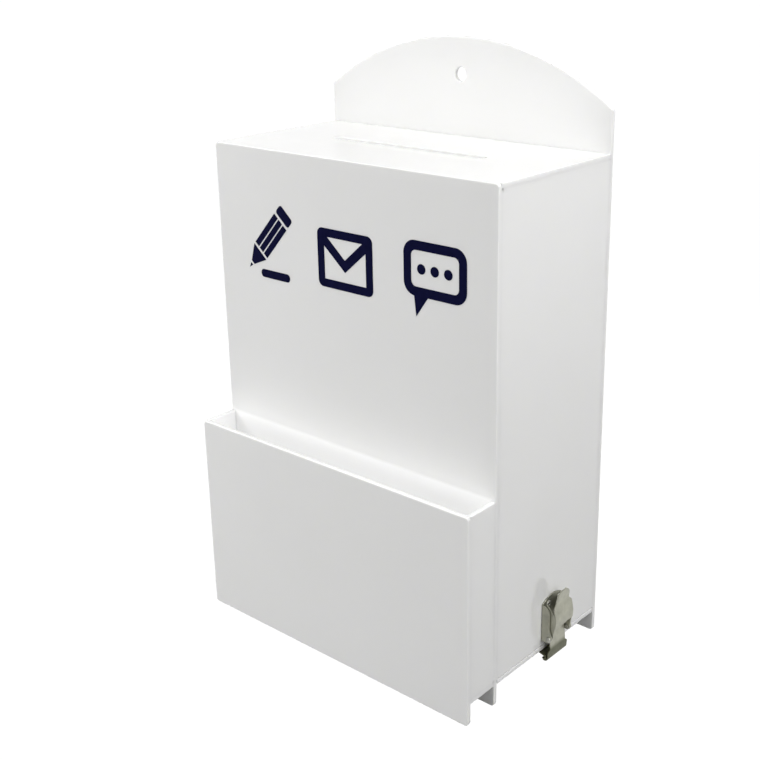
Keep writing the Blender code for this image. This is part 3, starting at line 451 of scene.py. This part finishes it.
SOFT_EDGE, SOFT_EDGE_STEPS = 0.12 * MM, 2
SOFT_EDGE_ANGLE = 50             # degrees, from which a metal edge is softened
SHADE_BY_SIZE = 100              # the most that large faces can count over small ones in the shading


def add_piece(name, mesh, body, slot, matrix=None, replaces=()):
    """A piece that rides on the body, in its slot's material where its mesh has none."""
    made = new_object(name, mesh)
    made.matrix_world = matrix or Matrix()
    if not mesh.materials:
        mesh.materials.append(SKINS[slot])
    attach(made, body)
    if replaces:
        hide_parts(*replaces)


def dress_cad_nodes():
    """The solids keep their meshes. Welded and weighted normals shade flats flat and rounded edges round."""
    slots = {row["node"]: row["material_slot"] for row in frame["record"]["subparts"]}
    for name, node in frame["nodes"].items():
        node.data.materials.clear()
        node.data.materials.append(SKINS[slots[name]])
        node.data.shade_smooth()
        weld = node.modifiers.new("weld", "WELD")
        weld.merge_threshold = WELD
        if slots[name] != "opal_acrylic":
            soft = node.modifiers.new("soft_edges", "BEVEL")
            soft.width = SOFT_EDGE
            soft.segments = SOFT_EDGE_STEPS
            soft.limit_method = "ANGLE"
            soft.angle_limit = math.radians(SOFT_EDGE_ANGLE)
        shade = node.modifiers.new("weighted_normals", "WEIGHTED_NORMAL")
        shade.mode = "FACE_AREA"
        shade.weight = SHADE_BY_SIZE
        shade.keep_sharp = False


# Cement in the joints between sheets

SEAM_RECESS = 0.01 * MM          # below the sheets' faces
CEMENT_GAP = 0.3 * MM
EDGE_ROUND = 0.4 * MM            # of the sheets' polished edges, which the cement fills


def seam_mesh(node_a, node_b, before, beyond):
    """Fills the narrow gap between two sheets where they face each other, and past the joint's two ends."""
    low = Vector([max(pair) for pair in zip(low_of(node_a), low_of(node_b))])
    high = Vector([min(pair) for pair in zip(high_of(node_a), high_of(node_b))])
    across = next(k for k in range(3) if low[k] > high[k])
    for k in range(3):
        if k == across:
            low[k], high[k] = high[k] - EDGE_ROUND, low[k] + EDGE_ROUND
        else:
            along = high[k] - low[k] > 2 * SHEET
            low[k] += SEAM_RECESS - (before if along else 0)
            high[k] -= SEAM_RECESS - (beyond if along else 0)
    bm = bmesh.new()
    matrix = Matrix.Translation((low + high) / 2) @ Matrix.Diagonal((*(high - low), 1))
    bmesh.ops.create_cube(bm, size=1, matrix=matrix)
    mesh = bpy.data.meshes.new("cement_seam")
    bm.to_mesh(mesh)
    bm.free()
    mesh.materials.append(CEMENT)
    return mesh


def make_cement():
    seams = [("top_panel", "front_panel", 0, 0), ("top_panel", "back_panel", 0, 0),
             ("pocket_floor", "front_panel", 0, 0), ("pocket_floor", "pocket_front_panel", 0, 0)]
    for side in ("left", "right"):
        seams += [("top_panel", f"{side}_side_panel", CEMENT_GAP, CEMENT_GAP),
                  ("pocket_floor", f"pocket_{side}_side", CEMENT_GAP, CEMENT_GAP),
                  (f"{side}_side_panel", "front_panel", 0, CEMENT_GAP),
                  (f"{side}_side_panel", "back_panel", 0, CEMENT_GAP),
                  (f"pocket_{side}_side", "front_panel", 0, 0),
                  (f"pocket_{side}_side", "pocket_front_panel", 0, 0)]
    for number, seam in enumerate(seams, start=1):
        add_piece(f"cement_seam_{number:02d}", seam_mesh(*seam), "box", "opal_acrylic")


# Pictograms of cut navy film, in a row on the upper half of the front

PICTOGRAM_MIDDLES = (-69.0 * MM, -1.0 * MM, 67.0 * MM)
PICTOGRAM_HEIGHT = 254.5 * MM
FILM_HALF_THICKNESS = 0.05 * MM
FILM_EDGE = 0.02 * MM            # rounding of its cut edges
FILM_LIFT = 0.02 * MM            # gap under it
FILM_ANGLE = 30                  # degrees, from which its edges show sharp


def arc(centre, radius, start, end, steps):
    angles = [math.radians(start + (end - start) * i / steps) for i in range(steps + 1)]
    return [(centre[0] + radius * math.cos(a), centre[1] + radius * math.sin(a)) for a in angles]


def disc(centre, radius, points=24):
    return arc(centre, radius, 0, 360 - 360 / points, points - 1)


def rectangle(low, high):
    return [low, (high[0], low[1]), high, (low[0], high[1])]


def rounded(low, high, radius, steps=8):
    """A rectangle with round corners, from the right end of its lower edge round to the left end."""
    (x0, y0), (x1, y1) = low, high
    points = arc((x1 - radius, y0 + radius), radius, -90, 0, steps)
    points += arc((x1 - radius, y1 - radius), radius, 0, 90, steps)
    points += arc((x0 + radius, y1 - radius), radius, 90, 180, steps)
    return points + arc((x0 + radius, y0 + radius), radius, 180, 270, steps)


def turned(points, degrees, shift):
    c, s = math.cos(math.radians(degrees)), math.sin(math.radians(degrees))
    return [(x * c - y * s + shift[0], x * s + y * c + shift[1]) for x, y in points]


# The three drawings are in millimetres, round the pictogram's middle


def pencil():
    """Eraser, wood, lead and a barrel with two grooves, tilted, with a line drawn under them."""
    half = 6.8
    eraser_start, eraser_end, eraser_corner = -27.0, -20.4, 1.8
    barrel_start, barrel_end = -18.6, 8.6
    groove_low, groove_high = 1.9, 2.8
    wood_start, wood_end, wood_half = 10.3, 21.0, 1.6
    lead_start, lead_end, lead_half = 22.4, 25.8, 1.1
    tilt, shift = 228, (2.2, 2.2)
    line_low, line_high, line_corner = (-4.5, -21.4), (21.0, -16.2), 2.4
    upright = [
        rounded((eraser_start, -half), (eraser_end, half), eraser_corner, steps=5),
        [(wood_start, -half), (wood_end, -wood_half), (wood_end, wood_half), (wood_start, half)],
        [(lead_start, -lead_half), (lead_end, 0.0), (lead_start, lead_half)],
    ]
    for low, high in ((-half, -groove_high), (-groove_low, groove_low), (groove_high, half)):
        upright.append(rectangle((barrel_start, low), (barrel_end, high)))
    line = rounded(line_low, line_high, line_corner, steps=6)
    return [turned(shape, tilt, shift) for shape in upright] + [line]


def envelope():
    """A border and a fold, with the flap above the fold and the body below it left open."""
    half_width, half_height, corner = 22.0, 18.0, 4.0
    flap_half_width, flap_tip = 14.0, 0.6
    open_half_width, open_half_height = 16.6, 12.8
    fold_ends, fold_tip = 7.4, -6.8
    border = rounded((-half_width, -half_height), (half_width, half_height), corner)
    flap = [(-flap_half_width, open_half_height), (flap_half_width, open_half_height), (0.0, flap_tip)]
    body = [(-open_half_width, fold_ends), (-open_half_width, -open_half_height),
            (open_half_width, -open_half_height), (open_half_width, fold_ends), (0.0, fold_tip)]
    return [border, flap, body]


def speech_bubble():
    """A bubble with a tail on the left of its lower edge, left open inside, with three dots there."""
    half_width, low, high, corner = 22.5, -10.5, 21.5, 8.0
    tail_left, tail_tip, tail_right = -15.0, (-13.6, -22.5), -5.0
    border, inner_corner = 5.5, 3.4
    dot_radius, dot_spacing = 3.0, 9.6
    outer = rounded((-half_width, low), (half_width, high), corner)
    outer += [(tail_left, low), tail_tip, (tail_right, low)]
    inner = rounded((border - half_width, low + border), (half_width - border, high - border), inner_corner)
    dots = [disc((x, (low + high) / 2), dot_radius) for x in (-dot_spacing, 0.0, dot_spacing)]
    return [outer, inner] + dots


def film_mesh(shapes):
    """Film cut to the shapes, where a shape inside another is a hole and one inside that is film again."""
    curve = bpy.data.curves.new("pictogram", "CURVE")
    curve.dimensions = "2D"
    curve.fill_mode = "BOTH"
    curve.extrude = FILM_HALF_THICKNESS - FILM_EDGE
    curve.bevel_depth = FILM_EDGE
    curve.bevel_resolution = 1
    curve.offset = -FILM_EDGE
    for shape in shapes:
        spline = curve.splines.new("POLY")
        spline.points.add(len(shape) - 1)
        for point, (x, y) in zip(spline.points, shape):
            point.co = (x * MM, y * MM, 0, 1)
        spline.use_cyclic_u = True
    mesh = applied(new_object("drawing", curve))
    mesh.materials.clear()
    smooth_by_angle(mesh, FILM_ANGLE)
    return mesh


def make_pictograms():
    drawings = (("pencil", pencil()), ("envelope", envelope()), ("speech_bubble", speech_bubble()))
    upright = Matrix.Rotation(math.radians(90), 4, "X")
    for (name, shapes), middle in zip(drawings, PICTOGRAM_MIDDLES):
        place = at(middle, -FILM_HALF_THICKNESS - FILM_LIFT, PICTOGRAM_HEIGHT)
        add_piece(f"{name}_pictogram", film_mesh(shapes), "box", "navy_film",
                  Matrix.Translation(place) @ upright)


# Small fasteners, with the detail that the plain solids leave out


def ring_mesh(name, rings, hollow=False):
    """A closed skin through rings of as many points: capped at both ends, or back to the first if hollow."""
    bm = bmesh.new()
    made = [[bm.verts.new(point) for point in ring] for ring in rings]
    if hollow:
        made.append(made[0])
    else:
        bm.faces.new(made[0][::-1])
        bm.faces.new(made[-1])
    for lower, upper in zip(made, made[1:]):
        for i in range(len(lower)):
            bm.faces.new((lower[i - 1], lower[i], upper[i], upper[i - 1]))
    bmesh.ops.recalc_face_normals(bm, faces=bm.faces)
    mesh = bpy.data.meshes.new(name)
    bm.to_mesh(mesh)
    bm.free()
    return mesh


def round_ring(radius, z, steps):
    return [(radius * math.cos(math.tau * i / steps), radius * math.sin(math.tau * i / steps), z)
            for i in range(steps)]


def cut_mesh(mesh, cutter_mesh):
    """The mesh with the cutter's volume taken away, applied, with no helper left behind."""
    target, cutter = new_object("target", mesh), new_object("cutter", cutter_mesh)
    step = target.modifiers.new("cut", "BOOLEAN")
    step.operation, step.solver, step.object = "DIFFERENCE", "EXACT", cutter
    made = applied(target)
    bpy.data.objects.remove(cutter)
    bm = bmesh.new()
    bm.from_mesh(made)
    bmesh.ops.remove_doubles(bm, verts=bm.verts, dist=WELD)
    bm.to_mesh(made)
    bm.free()
    made.name = mesh.name
    return made


# Screws, with height zero under the head

SCREW_LENGTH = high_of("catch_a_screw").z - low_of("catch_a_screw").z
SCREW_STEPS = 40
SHANK_RADIUS = 1.2 * MM
HEAD_RADIUS, HEAD_RISE = 2.2 * MM, 1.078 * MM
HEAD_BREAK = 0.08 * MM           # of the edge under the head
DOME_START = 0.38 * MM
DOME_STEP = 9                    # degrees
CROWN_SHARE = 0.04               # of the head's radius, flat at the top of the dome
SHANK_END = HEAD_RISE - SCREW_LENGTH
END_TAPER, END_HEIGHT = 0.35 * MM, 0.2 * MM
THREAD_TOP = -2.6 * MM
THREAD_PITCH, THREAD_DEPTH = 0.45 * MM, 0.16 * MM
THREAD_RUN_OUT = 0.1 * MM
RINGS_PER_TURN = 6
SCREW_ANGLE = 32                 # degrees, from which its edges show sharp
CROSS_REACH, CROSS_HALF_WIDTH = 1.25 * MM, 0.30 * MM
CROSS_FLOOR_REACH, CROSS_FLOOR_HALF_WIDTH = 0.56 * MM, 0.24 * MM
CROSS_DEPTH, CROSS_PROUD = 0.62 * MM, 0.3 * MM


def thread_ring(z):
    ring = []
    for i in range(SCREW_STEPS):
        turn = (z / THREAD_PITCH - i / SCREW_STEPS) % 1.0
        radius = SHANK_RADIUS - THREAD_DEPTH * abs(2 * turn - 1)
        angle = math.tau * i / SCREW_STEPS
        ring.append((radius * math.cos(angle), radius * math.sin(angle), z))
    return ring


def cross_ring(reach, half_width, z):
    ring = []
    for quarter in range(4):
        turning = Matrix.Rotation(math.tau * quarter / 4, 4, "Z")
        corners = ((reach, -half_width, z), (reach, half_width, z), (half_width, half_width, z))
        ring += [turning @ Vector(corner) for corner in corners]
    return ring


def cross_mesh():
    """Cutter for a screw's recess: a cross that narrows towards its floor and stands proud of the head."""
    floor = cross_ring(CROSS_FLOOR_REACH, CROSS_FLOOR_HALF_WIDTH, HEAD_RISE - CROSS_DEPTH)
    return ring_mesh("cross", [floor, cross_ring(CROSS_REACH, CROSS_HALF_WIDTH, HEAD_RISE + CROSS_PROUD)])


def screw_mesh():
    """Pan head with a cross recess, plain under the head, threaded from there to its end."""
    rings = [round_ring(SHANK_RADIUS - END_TAPER, SHANK_END, SCREW_STEPS)]
    z = SHANK_END + END_HEIGHT
    while z < THREAD_TOP:
        rings.append(thread_ring(z))
        z += THREAD_PITCH / RINGS_PER_TURN
    plain = [(SHANK_RADIUS, THREAD_TOP + THREAD_RUN_OUT), (SHANK_RADIUS, 0),
             (HEAD_RADIUS - HEAD_BREAK, 0), (HEAD_RADIUS, HEAD_BREAK)]
    for degrees in range(0, 91, DOME_STEP):
        angle = math.radians(degrees)
        plain.append((HEAD_RADIUS * max(math.cos(angle), CROWN_SHARE),
                      DOME_START + (HEAD_RISE - DOME_START) * math.sin(angle)))
    rings += [round_ring(radius, height, SCREW_STEPS) for radius, height in plain]
    made = cut_mesh(ring_mesh("screw", rings), cross_mesh())
    smooth_by_angle(made, SCREW_ANGLE)
    return made


# Nuts, with height zero at the outer end

NUT_FLAT, NUT_BORE, NUT_TALL = 2.5 * MM, 1.3 * MM, 1.8 * MM      # radius to the flats, bore's radius, height
NUT_ROUND = 0.97 * NUT_FLAT              # radius of the flat ring on each end
NUT_BORE_CHAMFER = 0.15 * MM
NUT_CORNER_SLOPE = math.tan(math.radians(30))
NUT_STEPS = 72
NUT_ANGLE = 25                   # degrees, from which its edges show sharp


def hexagon_ring(end, inward):
    """The flats' edge at one end: the further out a point lies, the further it is from the end."""
    ring = []
    for i in range(NUT_STEPS):
        angle = math.tau * i / NUT_STEPS
        from_flat = angle % math.radians(60) - math.radians(30)
        radius = NUT_FLAT / math.cos(from_flat)
        drop = (radius - NUT_ROUND) * NUT_CORNER_SLOPE
        ring.append((radius * math.cos(angle), radius * math.sin(angle), end + inward * drop))
    return ring


def nut_end(end, inward):
    """One end's rings, from the bore out to the flats."""
    return [round_ring(NUT_BORE, end + inward * NUT_BORE_CHAMFER, NUT_STEPS),
            round_ring(NUT_BORE + NUT_BORE_CHAMFER, end, NUT_STEPS),
            round_ring(NUT_ROUND, end, NUT_STEPS),
            hexagon_ring(end, inward)]


def nut_mesh():
    """Hexagon nut with both corners chamfered, and a chamfered bore."""
    mesh = ring_mesh("nut", nut_end(-NUT_TALL, 1) + nut_end(0, -1)[::-1], hollow=True)
    smooth_by_angle(mesh, NUT_ANGLE)
    return mesh


# Turns from upright to the way that the fasteners on each side of the box point
OUTWARD = {
    "left": Matrix.Rotation(math.radians(-90), 4, "Y"),
    "right": Matrix.Rotation(math.radians(90), 4, "Y"),
    "below": Matrix.Rotation(math.radians(180), 4, "X"),
}
# Degrees of turn from node to node in the sorted list, so that the screws' recesses point every way
TURN_STEP = 37


def fastener_side(name):
    if "hinge_box" in name:
        return "left"
    return "right" if name.startswith("latch_base") else "below"


def make_fasteners():
    screw, nut = screw_mesh(), nut_mesh()
    bodies = frame["record"]["behaviour"]["bodies"]
    for row, name in enumerate(sorted(frame["nodes"])):
        if not name.endswith(("_screw", "_nut")):
            continue
        low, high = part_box(name)
        outward = OUTWARD[fastener_side(name)]
        out = outward @ Vector((0, 0, 1))
        place = (low + high) / 2 + out * (abs(out.dot(high - low)) / 2)
        mesh, turn = nut, 0
        if name.endswith("_screw"):
            mesh, turn = screw, math.radians(TURN_STEP * row)
            place -= out * HEAD_RISE
        matrix = Matrix.Translation(place) @ outward @ Matrix.Rotation(turn, 4, "Z")
        body = next(body for body, names in bodies.items() if name in names)
        add_piece(name + "_detailed", mesh, body, "screw_steel", matrix, (name,))


make_camera()
make_world()
make_lamps()
make_floor()
dress_cad_nodes()
make_cement()
make_pictograms()
make_fasteners()

bpy.context.scene.view_settings.view_transform = "Standard"
